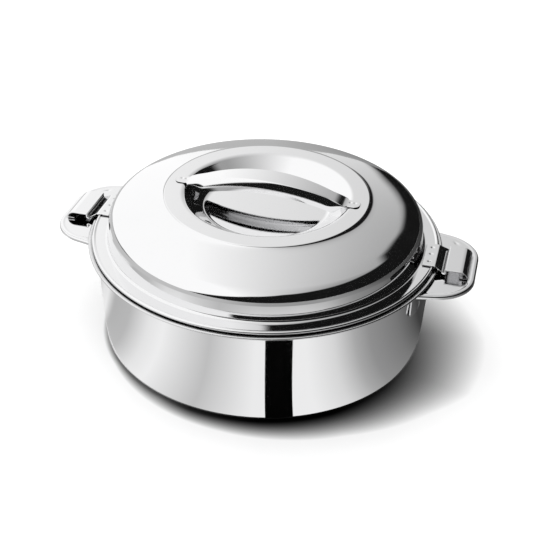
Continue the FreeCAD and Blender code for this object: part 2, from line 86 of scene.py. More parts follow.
BODY_HEIGHT = 69.5
WALL_TOP = 110
WALL_BASE = 107.4
BASE_HOLE = 7
BASE_PANEL = 85
BASE_PANEL_RISE = 1
BASE_RING_START = 87
BASE_CORNER = 5
WALL_TOP_BEND = 1.6
RIM_REACH = 115.1
HEM = 0.8
HEM_RETURN = 2.2
RIM_UNDER = BODY_HEIGHT - 2 * HEM

BOWL_FLOOR = 8
BOWL_FLOOR_RADIUS = 85.5
BOWL_CORNER = 14
BOWL_MOUTH = 102.5
BOWL_MOUTH_BEND = 2.5

BEAD = 1.2
BEAD_RADIUS = RIM_REACH - 2.4 - BEAD
BEAD_HEIGHT = BODY_HEIGHT + 0.3 + BEAD
BEAD_ROLL_START = math.radians(55)
BEAD_ROLL_END = math.radians(45)
FLANGE = BEAD_HEIGHT + BEAD - 0.5
FLANGE_START = 104.1
LID_WALL = 102.3
LID_WALL_FOOT = 1.9
DOME_RADIUS = 101.6
DOME_HEIGHT = FLANGE + 9.9
DOME_ROLL = 9.8
DOME_ROLL_SLOPE = math.radians(69)
DOME_ROLL_DRAFT = math.radians(5)
DOME_CROWN_BEND = 300
PLATEAU = FLANGE + 28.6
RECESS_FLOOR = PLATEAU - 10

PLUG_RADIUS = 98.8
PLUG_DEPTH = 10.7
PLUG_CORNER = 6
PLUG_MOUTH = 99.5
PLUG_BEND = 2

PLATE_TOP = RIM_UNDER - 0.9


# Mesh builders

class Profile:
    """A section line of (radius, height) points made of straight runs and arcs."""

    def __init__(self, radius, height):
        self.points = [(radius, height)]

    def line(self, radius, height):
        """A straight run, with a point close to each end so that its shading stays flat."""
        r0, z0 = self.points[-1]
        length = math.hypot(radius - r0, height - z0)
        marks = [1.0]
        if length > 4 * SUPPORT:
            inner = SUPPORT / length
            count = max(1, int(length / 6))
            marks = [inner + (1 - 2 * inner) * i / count for i in range(count + 1)] + [1.0]
        for mark in marks:
            self.points.append((r0 + (radius - r0) * mark, z0 + (height - z0) * mark))
        return self

    def arc(self, radius, height, bend, left):
        """An arc of the given bend, its centre to the left or right of the way it runs."""
        r0, z0 = self.points[-1]
        chord = math.hypot(radius - r0, height - z0)
        rise = math.sqrt(max(bend * bend - chord * chord / 4, 0)) * (1 if left else -1)
        nr, nz = -(height - z0) / chord, (radius - r0) / chord
        centre = ((r0 + radius) / 2 + nr * rise, (z0 + height) / 2 + nz * rise)
        start = math.atan2(z0 - centre[1], r0 - centre[0])
        sweep = math.atan2(height - centre[1], radius - centre[0]) - start
        while left and sweep <= 0:
            sweep += 2 * math.pi
        while not left and sweep >= 0:
            sweep -= 2 * math.pi
        count = max(3, math.ceil(abs(sweep) / ARC_STEP))
        for i in range(1, count + 1):
            angle = start + sweep * i / count
            self.points.append((centre[0] + bend * math.cos(angle), centre[1] + bend * math.sin(angle)))
        return self

    def normal(self, index):
        """The direction to the left of the line at a point."""
        r0, z0 = self.points[max(index - 1, 0)]
        r1, z1 = self.points[min(index + 1, len(self.points) - 1)]
        length = math.hypot(r1 - r0, z1 - z0)
        return (z0 - z1) / length, (r1 - r0) / length

    def thickened(self, gauge):
        """A closed loop: the line and its copy a gauge to the left."""
        other = []
        for index, (radius, height) in enumerate(self.points):
            nr, nz = self.normal(index)
            if radius == 0:
                nr, nz = 0, math.copysign(1, nz)
            other.append((max(radius + nr * gauge, 0), height + nz * gauge))
        return self.points + other[::-1]


def new_object(name, vertices, faces, smooth=True):
    mesh = bpy.data.meshes.new(name)
    mesh.from_pydata([tuple(c * MM for c in v) for v in vertices], [], faces)
    mesh.validate()
    if smooth:
        mesh.polygons.foreach_set("use_smooth", [True] * len(mesh.polygons))
    mesh.update()
    item = bpy.data.objects.new(name, mesh)
    bpy.context.scene.collection.objects.link(item)
    return item


def face_outward(item):
    work = bmesh.new()
    work.from_mesh(item.data)
    bmesh.ops.recalc_face_normals(work, faces=work.faces)
    work.to_mesh(item.data)
    work.free()
    return item


def lathe(name, loop):
    """A closed section turned round the axis; points on the axis become poles."""
    vertices, rings = [], []
    for radius, height in loop:
        if radius < 1e-6:
            rings.append([len(vertices)] * SEGMENTS)
            vertices.append((0, 0, height))
        else:
            rings.append(list(range(len(vertices), len(vertices) + SEGMENTS)))
            for i in range(SEGMENTS):
                angle = 2 * math.pi * i / SEGMENTS
                vertices.append((radius * math.cos(angle), radius * math.sin(angle), height))
    faces = []
    for first, second in zip(rings, rings[1:] + rings[:1]):
        for i in range(SEGMENTS):
            j = (i + 1) % SEGMENTS
            face = list(dict.fromkeys((first[i], first[j], second[j], second[i])))
            if len(face) > 2:
                faces.append(face)
    return face_outward(new_object(name, vertices, faces))


def skin(name, top, under):
    """A thin closed piece between two grids of points that match row by row."""
    rows, columns = len(top), len(top[0])
    vertices = [point for grid in (top, under) for row in grid for point in row]
    half = rows * columns

    def quad(r, c, base):
        a = base + r * columns + c
        return (a, a + 1, a + columns + 1, a + columns)

    faces = [quad(r, c, 0) for r in range(rows - 1) for c in range(columns - 1)]
    faces += [quad(r, c, half)[::-1] for r in range(rows - 1) for c in range(columns - 1)]
    border = [c for c in range(columns)]
    border += [r * columns + columns - 1 for r in range(1, rows)]
    border += [(rows - 1) * columns + c for c in range(columns - 2, -1, -1)]
    border += [r * columns for r in range(rows - 2, 0, -1)]
    for a, b in zip(border, border[1:] + border[:1]):
        faces.append((a, b, b + half, a + half))
    item = face_outward(new_object(name, vertices, faces))
    item.data.set_sharp_from_angle(angle=math.radians(40))
    return item


def join(name, items):
    with bpy.context.temp_override(active_object=items[0], selected_editable_objects=items,
                                   selected_objects=items, object=items[0]):
        bpy.ops.object.join()
    items[0].name = name
    items[0].data.name = name
    return items[0]


def dimple(x, y, spots, depth, reach):
    """How far the surface is pressed in by the nearest spot welds."""
    return sum(depth * math.exp(-((x - a) ** 2 + (y - b) ** 2) / (reach * reach)) for a, b in spots)


# Materials

def node(tree, kind, inputs=(), **settings):
    item = tree.nodes.new(kind)
    for name, value in settings.items():
        setattr(item, name, value)
    for key, value in dict(inputs).items():
        if isinstance(value, bpy.types.NodeSocket):
            tree.links.new(value, item.inputs[key])
        else:
            item.inputs[key].default_value = value
    return item


def math_node(tree, operation, first, second=0.0, clamp=False):
    item = node(tree, "ShaderNodeMath", {0: first, 1: second}, operation=operation, use_clamp=clamp)
    return item.outputs[0]


def new_material(name):
    material = bpy.data.materials.new(name)
    material.use_nodes = True
    tree = material.node_tree
    shader = tree.nodes["Principled BSDF"]
    return material, tree, shader


def around_axis(tree):
    """A point's place, and its radius, height and turn about the part's axis."""
    place = node(tree, "ShaderNodeTexCoord").outputs["Object"]
    split = node(tree, "ShaderNodeSeparateXYZ", {0: place})
    x, y, z = split.outputs
    flat = node(tree, "ShaderNodeCombineXYZ", {0: x, 1: y}).outputs[0]
    radius = node(tree, "ShaderNodeVectorMath", {0: flat}, operation="LENGTH").outputs["Value"]
    turn = math_node(tree, "ARCTAN2", y, x)
    return place, radius, z, turn


LINE_DEPTH = 0.00002
WAVE_DEPTH = 0.00006
MARK_SHADE = 0.93
MARK_SPREAD = 1.9


def steel(name, colour, roughness, line_strength, line_pitch, along=None, crease_shade_reach=0.0022):
    """Polished sheet: fine lines, faint waves of the pressing, soft handling marks, and painted shade that
    darkens its colour in creases.
    """
    material, tree, shader = new_material(name)
    place, radius, height, turn = around_axis(tree)
    if along is None:
        lines_at = node(tree, "ShaderNodeCombineXYZ", {
            0: math_node(tree, "MULTIPLY", radius, 1 / line_pitch),
            1: math_node(tree, "MULTIPLY", height, 1 / line_pitch),
            2: math_node(tree, "MULTIPLY", turn, 1.5)}).outputs[0]
    else:
        lines_at = node(tree, "ShaderNodeVectorMath", {0: place, 1: along}, operation="MULTIPLY").outputs[0]
    lines = node(tree, "ShaderNodeTexNoise", {"Vector": lines_at, "Scale": 1.0, "Detail": 2.0,
                                              "Roughness": 0.6}).outputs["Fac"]
    waves = node(tree, "ShaderNodeTexNoise", {"Vector": place, "Scale": 16.0, "Detail": 1.0}).outputs["Fac"]
    marks = node(tree, "ShaderNodeTexNoise", {"Vector": place, "Scale": 55.0, "Detail": 4.0,
                                              "Roughness": 0.55}).outputs["Fac"]
    shader.inputs["Metallic"].default_value = 1.0
    tone = node(tree, "ShaderNodeMix", {"Factor": math_node(tree, "MULTIPLY", marks, 0.35)}, data_type="RGBA")
    tone.inputs["A"].default_value = (*colour, 1)
    tone.inputs["B"].default_value = (*(c * MARK_SHADE for c in colour), 1)
    # painted shade: the colour is darkened where occlusion within the reach finds creases and tight corners
    occlusion = node(tree, "ShaderNodeAmbientOcclusion", {"Distance": crease_shade_reach}, samples=6)
    painted_crease_shade = node(tree, "ShaderNodeMapRange", {"Value": occlusion.outputs["AO"],
                                                "From Min": 0.38, "From Max": 0.8}).outputs["Result"]
    shade = node(tree, "ShaderNodeVectorMath", {0: tone.outputs["Result"]}, operation="SCALE")
    tree.links.new(painted_crease_shade, shade.inputs["Scale"])
    tree.links.new(shade.outputs[0], shader.inputs["Base Color"])
    spread = node(tree, "ShaderNodeMapRange", {"Value": marks, "From Min": 0.35, "From Max": 0.75,
                                               "To Min": roughness, "To Max": roughness * MARK_SPREAD})
    grain = math_node(tree, "MULTIPLY", lines, roughness * 0.5)
    tree.links.new(math_node(tree, "ADD", spread.outputs["Result"], grain), shader.inputs["Roughness"])
    fine = node(tree, "ShaderNodeBump", {"Strength": line_strength, "Distance": LINE_DEPTH, "Height": lines})
    wide = node(tree, "ShaderNodeBump", {"Strength": 1.0, "Distance": WAVE_DEPTH, "Height": waves,
                                         "Normal": fine.outputs[0]})
    tree.links.new(wide.outputs[0], shader.inputs["Normal"])
    return material


def plain_plastic(name, colour, scale):
    """Dull cast plastic: a fine grain in its colour, its roughness and its surface."""
    material, tree, shader = new_material(name)
    place = node(tree, "ShaderNodeTexCoord").outputs["Object"]
    grain = node(tree, "ShaderNodeTexNoise", {"Vector": place, "Scale": scale, "Detail": 5.0}).outputs["Fac"]
    tone = node(tree, "ShaderNodeMix", {"Factor": grain}, data_type="RGBA")
    tone.inputs["A"].default_value = (*colour, 1)
    tone.inputs["B"].default_value = (*(c * 0.8 for c in colour), 1)
    tree.links.new(tone.outputs["Result"], shader.inputs["Base Color"])
    tree.links.new(math_node(tree, "MULTIPLY_ADD", grain, 0.2), shader.inputs["Roughness"])
    bump = node(tree, "ShaderNodeBump", {"Strength": 0.4, "Distance": 0.0002, "Height": grain})
    tree.links.new(bump.outputs[0], shader.inputs["Normal"])
    return material


POLISHED = (0.86, 0.86, 0.865)
SATIN = (0.74, 0.74, 0.745)
spun_mirror = steel("spun_mirror_steel", POLISHED, 0.028, 0.10, 0.00035)
strip_mirror = steel("strip_mirror_steel", POLISHED, 0.035, 0.12, 0.0003, along=(90, 2600, 2600),
                     crease_shade_reach=0.0038)
plate_mirror = steel("plate_mirror_steel", POLISHED, 0.04, 0.12, 0.0003, along=(2200, 90, 2200))
satin_steel = steel("satin_steel", SATIN, 0.14, 0.8, 0.0004)
foam = plain_plastic("rigid_foam", (0.86, 0.78, 0.55), 900)
plug_plastic = plain_plastic("plug_plastic", (0.05, 0.05, 0.052), 500)


def finish(item, material, slot, body, *nodes):
    """Gives a new piece its material and its body, and hides the imported node it stands for. The slot is not
    used.
    """
    item.data.materials.clear()
    item.data.materials.append(material)
    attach(item, body)
    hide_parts(*nodes)


# Turned pieces

def build_shell():
    flange = RIM_UNDER + STEEL + SEAM
    line = Profile(BASE_HOLE, BASE_PANEL_RISE).line(BASE_PANEL, BASE_PANEL_RISE).line(BASE_RING_START, 0)
    line.line(WALL_BASE - BASE_CORNER, 0).arc(WALL_BASE, BASE_CORNER, BASE_CORNER, left=True)
    line.line(WALL_TOP, flange - WALL_TOP_BEND)
    line.arc(WALL_TOP + WALL_TOP_BEND, flange, WALL_TOP_BEND, left=False)
    line.line(RIM_REACH - HEM - SEAM, flange)
    finish(lathe("outer_shell_skin", line.thickened(STEEL)), spun_mirror, "polished_steel",
           "casserole_body", "outer_shell")


def build_bowl():
    hem_start = RIM_REACH - HEM
    line = Profile(0, BOWL_FLOOR).line(BOWL_FLOOR_RADIUS, BOWL_FLOOR)
    line.arc(BOWL_FLOOR_RADIUS + BOWL_CORNER, BOWL_FLOOR + BOWL_CORNER, BOWL_CORNER, left=True)
    line.line(BOWL_MOUTH, BODY_HEIGHT - BOWL_MOUTH_BEND)
    line.arc(BOWL_MOUTH + BOWL_MOUTH_BEND, BODY_HEIGHT, BOWL_MOUTH_BEND, left=False)
    line.line(hem_start, BODY_HEIGHT).arc(RIM_REACH, BODY_HEIGHT - HEM, HEM, left=False)
    line.arc(hem_start, RIM_UNDER, HEM, left=False).line(hem_start - HEM_RETURN, RIM_UNDER)
    finish(lathe("inner_bowl_skin", line.thickened(-STEEL)), satin_steel, "satin_steel",
           "casserole_body", "inner_bowl")


def build_lid_cover():
    roll_centre = DOME_RADIUS - DOME_ROLL

    def on_roll(angle):
        return roll_centre + DOME_ROLL * math.cos(angle), DOME_HEIGHT + DOME_ROLL * math.sin(angle)

    # finger recess
    line = Profile(0, RECESS_FLOOR).line(38, RECESS_FLOOR).arc(42, RECESS_FLOOR + 1.44, 5.6, left=True)
    line.line(52.2, PLATEAU - 1.28).arc(55.8, PLATEAU, 5.4, left=False)
    # plateau, and the step down from it
    line.line(65.3, PLATEAU).arc(66, PLATEAU - 0.5, 0.7, left=False).arc(71, PLATEAU - 2.2, 24, left=True)
    # dome and its wall
    line.arc(*on_roll(DOME_ROLL_SLOPE), DOME_CROWN_BEND, left=False)
    line.arc(*on_roll(DOME_ROLL_DRAFT), DOME_ROLL, left=False)
    line.line(LID_WALL, FLANGE + LID_WALL_FOOT).arc(FLANGE_START, FLANGE, LID_WALL_FOOT, left=True)
    # flange and its rolled bead
    line.line(BEAD_RADIUS - BEAD, FLANGE)
    line.line(BEAD_RADIUS - BEAD * math.cos(BEAD_ROLL_START), BEAD_HEIGHT + BEAD * math.sin(BEAD_ROLL_START))
    line.arc(BEAD_RADIUS + BEAD, BEAD_HEIGHT, BEAD, left=False)
    line.arc(BEAD_RADIUS, BEAD_HEIGHT - BEAD, BEAD, left=False)
    line.arc(BEAD_RADIUS - BEAD * math.cos(BEAD_ROLL_END), BEAD_HEIGHT - BEAD * math.sin(BEAD_ROLL_END),
             BEAD, left=False)
    finish(lathe("lid_cover_skin", line.thickened(-STEEL)), spun_mirror, "polished_steel",
           "lid", "lid_outer_cover")


def build_lid_pan():
    under = FLANGE - 2 * STEEL
    floor = under - PLUG_DEPTH
    line = Profile(0, floor).line(PLUG_RADIUS - PLUG_CORNER, floor)
    line.arc(PLUG_RADIUS, floor + PLUG_CORNER, PLUG_CORNER, left=True).line(PLUG_MOUTH, under - PLUG_BEND)
    line.arc(PLUG_MOUTH + PLUG_BEND, under, PLUG_BEND, left=False).line(BEAD_RADIUS - 0.2, under)
    finish(lathe("lid_pan_skin", line.thickened(STEEL)), satin_steel, "satin_steel", "lid", "lid_inner_cover")


# Lid handle

ARCH_HALF = 52
ARCH_FOOT_EASE = 0.35
HANDLE_RISE = 11.4
HANDLE_WIDTH = 19
HANDLE_END_WIDTH = 12
HANDLE_SKIRT = 8.2
HANDLE_WELDS = (54.3, 57.2)
HANDLE_STATIONS = 320
TAB_END = 60.5
TAB_WIDTH = 8.5
TAB_CORNER = 3


def smooth_step(value, low, high):
    t = min(max((value - low) / (high - low), 0), 1)
    return t * t * (3 - 2 * t)


def handle_half_width(away):
    swell = (HANDLE_WIDTH - HANDLE_END_WIDTH) / 2 * (1 - min(away / ARCH_HALF, 1) ** 2)
    half = HANDLE_END_WIDTH / 2 + swell
    half += (TAB_WIDTH - HANDLE_END_WIDTH) / 2 * smooth_step(away, ARCH_HALF - 0.3, ARCH_HALF + 0.9)
    tip = max(away - (TAB_END - TAB_CORNER), 0)
    return half - TAB_CORNER + math.sqrt(max(TAB_CORNER ** 2 - tip ** 2, 0))


def handle_section(half, skirt, fullness):
    """Half of the strap's section: flat top, tight bend, long soft front, then the skirt."""
    # each bend: its normal's rise at the start and at the end in degrees, its radius, its number of steps
    bends = [(90, 27, 0.35 + 0.85 * fullness, 10), (27, 14, 20 * fullness, 12), (14, 0, 3 * fullness, 5)]
    reach = sum(r * (math.cos(math.radians(low)) - math.cos(math.radians(high))) for high, low, r, _ in bends)
    y, z = half - reach, 0.0
    section = [(y * k / 8, 0.0, 0.0, 1.0) for k in range(9)]
    for high, low, r, steps in bends:
        start = math.radians(high)
        centre = (y - r * math.cos(start), z - r * math.sin(start))
        for k in range(1, steps + 1):
            angle = math.radians(high + (low - high) * k / steps)
            out, up = math.cos(angle), math.sin(angle)
            section.append((centre[0] + r * out, centre[1] + r * up, out, up))
        y, z = section[-1][:2]
    foot = -max(skirt, 0.1 - z)
    for k in range(1, 5):
        section.append((half, z + (foot - z) * k / 4, 1.0, 0.0))
    return section


def build_lid_handle():
    radius = (ARCH_HALF ** 2 + HANDLE_RISE ** 2) / (2 * HANDLE_RISE)
    foot = PLATEAU + STRAP
    apex = foot + HANDLE_RISE
    welds = [(side * r, 1.0) for side in (-1, 1) for r in HANDLE_WELDS]
    top, under = [], []
    for i in range(HANDLE_STATIONS + 1):
        x = -TAB_END + 2 * TAB_END * i / HANDLE_STATIONS
        away = abs(x)
        arch = apex - radius + math.sqrt(max(radius ** 2 - x * x, 0))
        over = min((arch - foot) / ARCH_FOOT_EASE, 40)
        height = foot + ARCH_FOOT_EASE * math.log1p(math.exp(over))
        skirt = STRAP * 0.6 + (HANDLE_SKIRT - STRAP * 0.6) * (1 - smooth_step(away, 43, 52.3))
        fullness = 1 - smooth_step(away, 40, 52)
        section = handle_section(handle_half_width(away), skirt, fullness)
        row, low = [], []
        for side in (-1, 1):
            half_row = section[::-1] if side < 0 else section[1:]
            for y, z, ny, nz in half_row:
                press = dimple(x, side * y, welds, 0.5, 0.8) if nz > 0.9 else 0
                row.append((x, side * y, height + z - press))
                low.append((x, side * (y - ny * STRAP * 0.98), height + z - nz * STRAP * 0.98))
        top.append(row)
        under.append(low)
    finish(skin("lid_handle_strap", top, under), strip_mirror, "polished_steel", "lid", "lid_handle")


# Lid lugs

LUG_ROOT = 104.6
LUG_VALLEY = 119.0
LUG_GRIP = 119.5
LUG_FLAT = 8.6
LUG_BEND = 4
LUG_BEND_REACH = 5.5
LUG_ROOT_WIDTH = 26.5
LUG_GRIP_WIDTH = 30
LUG_CREST_REACH = 0.8
LUG_VALLEY_DROP = 3.4
LUG_GRIP_RISE = 0.8
LUG_PLATE_GAP = 0.4
LUG_RETURN = 4
LUG_WELDS = [(108.3, y) for y in (-8.5, 0.5, 8.5)]
LUG_MESH = 0.4
LUG_COLUMNS = 80
LUG_EDGE = 0.3
LUG_BEND_STEPS = 16


def lug_line():
    """The upper side of the strap: root, slope, step up to the grip, and the grip's open roll."""
    root_top = BEAD_HEIGHT + BEAD + SEAM + STRAP
    valley_top = root_top - LUG_VALLEY_DROP
    grip_top = FLANGE + LUG_GRIP_RISE
    crest = BEAD_RADIUS + LUG_CREST_REACH
    leg_under = PLATE_TOP + LUG_PLATE_GAP
    low_bend = grip_top - LUG_BEND - leg_under
    bend_start = LUG_GRIP + LUG_FLAT
    bend_end = bend_start + LUG_BEND_REACH
    line = Profile(LUG_ROOT, root_top)
    line.line(crest - 0.6, root_top).arc(crest + 1.0, root_top - 0.55, 2.2, left=False)
    line.line(LUG_VALLEY - 0.8, valley_top + 0.25).arc(LUG_VALLEY + 0.1, valley_top + 0.4, 0.7, left=True)
    line.line(LUG_GRIP - STRAP * 0.6, grip_top - 0.5).arc(LUG_GRIP, grip_top, 0.62, left=False)
    line.line(bend_start, grip_top)
    for step in range(1, LUG_BEND_STEPS + 1):
        angle = math.pi / 2 * step / LUG_BEND_STEPS
        line.points.append((bend_start + LUG_BEND_REACH * math.sin(angle),
                            grip_top - LUG_BEND * (1 - math.cos(angle))))
    line.arc(bend_end - low_bend, leg_under, low_bend, left=False)
    line.line(bend_end - low_bend - LUG_RETURN, leg_under)
    refined = []
    for (r0, z0), (r1, z1) in zip(line.points, line.points[1:]):
        count = max(1, math.ceil(math.hypot(r1 - r0, z1 - z0) / LUG_MESH)) if r1 < crest else 1
        refined += [(r0 + (r1 - r0) * i / count, z0 + (z1 - z0) * i / count) for i in range(count)]
    line.points = refined + [line.points[-1]]
    return line, crest


def build_lug(name, node_name, turn):
    line, crest = lug_line()
    top, low = [], []
    for index, (r, z) in enumerate(line.points):
        nr, nz = line.normal(index)
        share = smooth_step(r, crest, LUG_VALLEY)
        half = (LUG_ROOT_WIDTH + (LUG_GRIP_WIDTH - LUG_ROOT_WIDTH) * share) / 2
        row, under_row = [], []
        for k in range(LUG_COLUMNS + 1):
            y = -half + 2 * half * k / LUG_COLUMNS
            t = max(abs(y) - (half - LUG_EDGE), 0) / LUG_EDGE
            sink = LUG_EDGE * 0.7 * (1 - math.sqrt(max(1 - t * t, 0)))
            if r < crest:
                sink += dimple(r, y, LUG_WELDS, 0.65, 0.85)
            row.append((r - nr * sink, y, z - nz * sink))
            under_row.append((r - nr * STRAP, y, z - nz * STRAP))
        top.append(row)
        low.append(under_row)
    item = skin(name, top, low)
    item.data.transform(Matrix.Rotation(turn, 4, "Z"))
    finish(item, strip_mirror, "polished_steel", "lid", node_name)


# Body handle plates

PLATE_HALF = 40.9
PLATE_REACH = 138
PLATE_SHOULDER = (117, 37.7)
PLATE_END_HALF = 12.5
PLATE_BEND = 26.3
PLATE_EDGE = 2.4
PLATE_ROUND = 1.4
PLATE_GAUGE = 1
PLATE_WALL = WALL_TOP + SEAM
PLATE_SPREAD = math.asin(PLATE_HALF / PLATE_WALL)
PLATE_ROWS = 30
PLATE_HOLE = (122.2, 27.6)
FLANGE_DEPTH = 14
FLANGE_CORNER = 2
FLANGE_STEPS = 160
FLANGE_ROWS = 40

# a spot weld's ring: how far along the flange, how far under the plate's top, its radius, width and depth
WELD_PLACE = 33
WELD_DROP = 12
WELD_RING = 2.3
WELD_WIDTH = 0.6
WELD_DEPTH = 0.45


def plate_edge_points():
    """The D's outer edge, from its one end at the wall round to the other."""
    line = Profile(math.sqrt(PLATE_WALL ** 2 - PLATE_HALF ** 2), -PLATE_HALF)
    line.line(PLATE_SHOULDER[0], -PLATE_SHOULDER[1])
    line.arc(PLATE_REACH, -PLATE_END_HALF, PLATE_BEND, left=True).line(PLATE_REACH, 0)
    line.points += [(x, -y) for x, y in line.points[-2::-1]]
    return line


def plate_skin(name, hole):
    """The flat of the plate with its shallow groove, its pressed slit and its turned-down edge."""
    edge = plate_edge_points()
    count = len(edge.points)
    # how far in from the edge, and how far below the top, each row of the surface lies
    rows = [(4.0, 0), (3.3, 0), (2.9, -0.06), (2.4, -0.16), (1.9, -0.16), (1.4, -0.08), (0.95, 0)]
    rows += [(PLATE_ROUND * (1 - math.sin(a)), PLATE_ROUND * (1 - math.cos(a)))
             for a in (math.radians(d) for d in range(0, 91, 10))]
    rows += [(0, 1.8), (0, 2.1), (0, PLATE_EDGE)]
    top, low = [], []
    for index, (x, y) in enumerate(edge.points):
        nx, ny = edge.normal(index)
        angle = -PLATE_SPREAD + 2 * PLATE_SPREAD * index / (count - 1)
        start = Vector((PLATE_WALL * math.cos(angle), PLATE_WALL * math.sin(angle)))
        groove = Vector((x + nx * rows[0][0], y + ny * rows[0][0]))
        row, under_row = [], []
        for k in range(PLATE_ROWS):
            p = start.lerp(groove, k / PLATE_ROWS)
            row.append((p.x, p.y, PLATE_TOP - dimple(p.x, p.y, [hole], 0.9, 0.9)))
            under_row.append((p.x, p.y, PLATE_TOP - PLATE_GAUGE))
        for inset, drop in rows:
            row.append((x + nx * inset, y + ny * inset, PLATE_TOP - drop))
            deeper = max(inset, PLATE_GAUGE)
            under_row.append((x + nx * deeper, y + ny * deeper, PLATE_TOP - max(drop, PLATE_GAUGE)))
        top.append(row)
        low.append(under_row)
    return skin(name, top, low)


def flange_skin(name):
    """The curved flange on the shell's wall, with a ring at each spot weld."""
    top, low = [], []
    start = PLATE_TOP - PLATE_GAUGE
    foot = PLATE_TOP - PLATE_EDGE - FLANGE_DEPTH
    for i in range(FLANGE_STEPS + 1):
        angle = -PLATE_SPREAD + 2 * PLATE_SPREAD * i / FLANGE_STEPS
        along = PLATE_WALL * angle
        from_end = min(i, FLANGE_STEPS - i) / FLANGE_STEPS * 2 * PLATE_SPREAD * PLATE_WALL
        into_corner = max(FLANGE_CORNER - from_end, 0)
        lift = FLANGE_CORNER - math.sqrt(max(FLANGE_CORNER ** 2 - into_corner ** 2, 0))
        row, under_row = [], []
        for k in range(FLANGE_ROWS + 1):
            z = start + (foot + lift - start) * k / FLANGE_ROWS
            ring = math.hypot(abs(along) - WELD_PLACE, z - PLATE_TOP + WELD_DROP)
            sink = WELD_DEPTH * math.exp(-((ring - WELD_RING) / WELD_WIDTH) ** 2)
            outer = PLATE_WALL + PLATE_GAUGE - (sink if abs(along) < WELD_PLACE + 1 else 0)
            row.append((outer * math.cos(angle), outer * math.sin(angle), z))
            under_row.append((PLATE_WALL * math.cos(angle), PLATE_WALL * math.sin(angle), z))
        top.append(row)
        low.append(under_row)
    return skin(name, top, low)


def build_plate(name, node_name, turn, hole):
    item = join(name, [plate_skin(name, hole), flange_skin(f"{name}_flange")])
    item.data.transform(Matrix.Rotation(turn, 4, "Z"))
    finish(item, plate_mirror, "polished_steel", "casserole_body", node_name)


build_shell()
build_bowl()
build_lid_cover()
build_lid_pan()
build_lid_handle()
build_lug("lug_right_strap", "lid_lug_right", 0)
build_lug("lug_left_strap", "lid_lug_left", math.pi)
build_plate("handle_right_plate", "body_handle_right", 0, PLATE_HOLE)
build_plate("handle_left_plate", "body_handle_left", math.pi, (PLATE_HOLE[0], -PLATE_HOLE[1]))

INNER_MATERIALS = {"body_insulation": foam, "lid_insulation": foam, "base_foam_plug": plug_plastic}
for node_name, material in INNER_MATERIALS.items():
    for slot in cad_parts[node_name].material_slots:
        slot.material = material


# Studio: pale floor with a painted contact shadow, soft light, and what the mirror sees of it

def stage_object(name, vertices, faces, material):
    item = new_object(name, vertices, faces, smooth=False)
    item.data.materials.append(material)
    return item


def only_in_reflections(item):
    item.visible_camera = False
    item.visible_diffuse = False
    item.visible_shadow = False
    item.visible_transmission = False
    item.visible_volume_scatter = False


def emission_material(name):
    material, tree, shader = new_material(name)
    tree.nodes.remove(shader)
    glow = node(tree, "ShaderNodeEmission", {"Strength": 1.0})
    tree.links.new(glow.outputs[0], tree.nodes["Material Output"].inputs["Surface"])
    return material, tree, glow


def ramp(tree, value, stops):
    item = node(tree, "ShaderNodeValToRGB", {0: value})
    bands = item.color_ramp.elements
    while len(bands) > 1:
        bands.remove(bands[-1])
    for index, (place, level) in enumerate(stops):
        band = bands[0] if index == 0 else bands.new(place)
        band.position = place
        band.color = (level, level, level, 1)
    return item.outputs[0]


def by_turn(tree, share, levels):
    return ramp(tree, share, [((turn + 180) / 360, level) for turn, level in levels])


def turn_about_pot(tree):
    """A floor point's turn from the camera's side as 0 to 1, its distance from the axis, and its place."""
    place = node(tree, "ShaderNodeTexCoord").outputs["Object"]
    facing = node(tree, "ShaderNodeVectorRotate", {"Vector": place, "Angle": -VIEW_TURN},
                  rotation_type="Z_AXIS")
    split = node(tree, "ShaderNodeSeparateXYZ", {0: facing.outputs[0]})
    x, y, _ = split.outputs
    turn = math_node(tree, "ARCTAN2", x, math_node(tree, "MULTIPLY", y, -1.0))
    share = math_node(tree, "MULTIPLY_ADD", turn, 0.5 / math.pi)
    share.node.inputs[2].default_value = 0.5
    radius = node(tree, "ShaderNodeVectorMath", {0: place}, operation="LENGTH").outputs["Value"]
    return share, radius, place


# the contact shadow painted into the floor's colour, by turn from the camera's side: how dark it starts and
# how far it runs
SHADOW_START = [(-180, 1.0), (-60, 0.55), (-36, 0.45), (-24, 0.2), (0, 0.05), (24, 0.04), (48, 0.18),
                (72, 0.42), (84, 0.5), (96, 0.68), (108, 0.8), (125, 1.0), (180, 1.0)]
SHADOW_REACH = [(-180, 0.05), (-60, 0.06), (-36, 0.13), (-12, 0.2), (0, 0.25), (24, 0.36), (48, 0.58),
                (60, 0.76), (84, 0.76), (108, 0.56), (125, 0.5), (180, 0.05)]
SHADOW_UNIT = 60
BASE_RING = 106.5
FLOOR_SIDE = 6000


def add_floor():
    material, tree, shader = new_material("pale_floor_painted_shadow")
    share, radius, place = turn_about_pot(tree)
    # painted shadow: the floor's colour darkens towards the pot's base, as dark as the start table gives and
    # fading over the reach table
    start = by_turn(tree, share, SHADOW_START)
    reach = math_node(tree, "MULTIPLY", by_turn(tree, share, SHADOW_REACH), SHADOW_UNIT * MM)
    away = math_node(tree, "DIVIDE", math_node(tree, "SUBTRACT", radius, BASE_RING * MM), reach, clamp=True)
    level = node(tree, "ShaderNodeMix", {"Factor": away, "A": start, "B": 1.0}, data_type="FLOAT")
    level = math_node(tree, "POWER", level.outputs["Result"], 2.2)
    grain = node(tree, "ShaderNodeTexNoise", {"Vector": place, "Scale": 40.0}).outputs["Fac"]
    tone = math_node(tree, "SUBTRACT", 0.94, math_node(tree, "MULTIPLY", grain, 0.02))
    tree.links.new(math_node(tree, "MULTIPLY", level, tone), shader.inputs["Base Color"])
    shader.inputs["Roughness"].default_value = 0.9
    shader.inputs["Specular IOR Level"].default_value = 0.0
    corners = [(-FLOOR_SIDE, -FLOOR_SIDE, 0), (FLOOR_SIDE, -FLOOR_SIDE, 0),
               (FLOOR_SIDE, FLOOR_SIDE, 0), (-FLOOR_SIDE, FLOOR_SIDE, 0)]
    stage_object("floor", corners, [(0, 1, 2, 3)], material)


